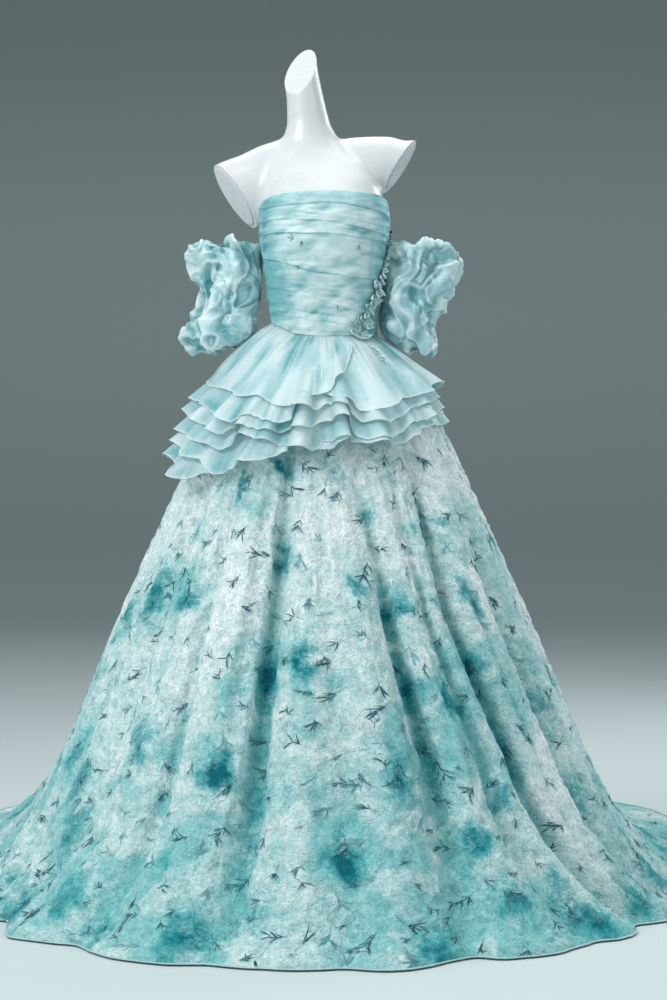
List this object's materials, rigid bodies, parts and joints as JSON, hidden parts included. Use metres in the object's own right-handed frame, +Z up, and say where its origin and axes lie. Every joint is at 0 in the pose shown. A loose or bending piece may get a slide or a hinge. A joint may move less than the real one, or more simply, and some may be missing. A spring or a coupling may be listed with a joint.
{
  "type": "prom dress on dress form",
  "caption": "Strapless prom dress with draped bodice, ruffled peplum, detached puff sleeves and a long printed train, on a limbless dress form with a round stand.",
  "frame": {"origin": "centre of the underside of the stand's base, on the floor", "axes": "+Z up, the front of the dress faces -Y, +X is the viewer's right in the picture, the train lies towards +Y"},
  "size_m": [1.6522, 2.0633, 1.6486],
  "materials": {
    "printed_organza": "crinkled printed organza, matte with a soft sheen",
    "draped_organza": "sheer organza draped in pleats over a printed ground",
    "sheer_organza": "sheer aqua organza with a soft sheen",
    "applique_leaf": "pale layered organza leaves",
    "dark_bead": "gloss",
    "form_shell": "smooth white satin gloss",
    "stand_steel": "white enamel"
  },
  "bodies": {
    "root": {"applique_bow": "applique_leaf", "applique_tail": "applique_leaf", "applique_vine": "applique_leaf", "arm_cap_left": "form_shell", "arm_cap_right": "form_shell", "bodice_back_left": "draped_organza", "bodice_back_right": "draped_organza", "bodice_front": "draped_organza", "bodice_side_right": "draped_organza", "dress_form_torso": "form_shell", "peplum_flounce_right": "sheer_organza", "peplum_overlay_left": "sheer_organza", "puff_sleeve_left": "sheer_organza", "puff_sleeve_right": "sheer_organza", "ruffle_tier_2": "sheer_organza", "ruffle_tier_3": "sheer_organza", "ruffle_tier_4": "sheer_organza", "ruffle_tier_5": "sheer_organza", "ruffle_tier_6": "sheer_organza", "side_bead": "dark_bead", "skirt_back_train": "printed_organza", "skirt_front": "printed_organza", "skirt_side_left": "printed_organza", "skirt_side_right": "printed_organza", "stand_base": "stand_steel", "stand_pole": "stand_steel"}
  },
  "joints": []
}
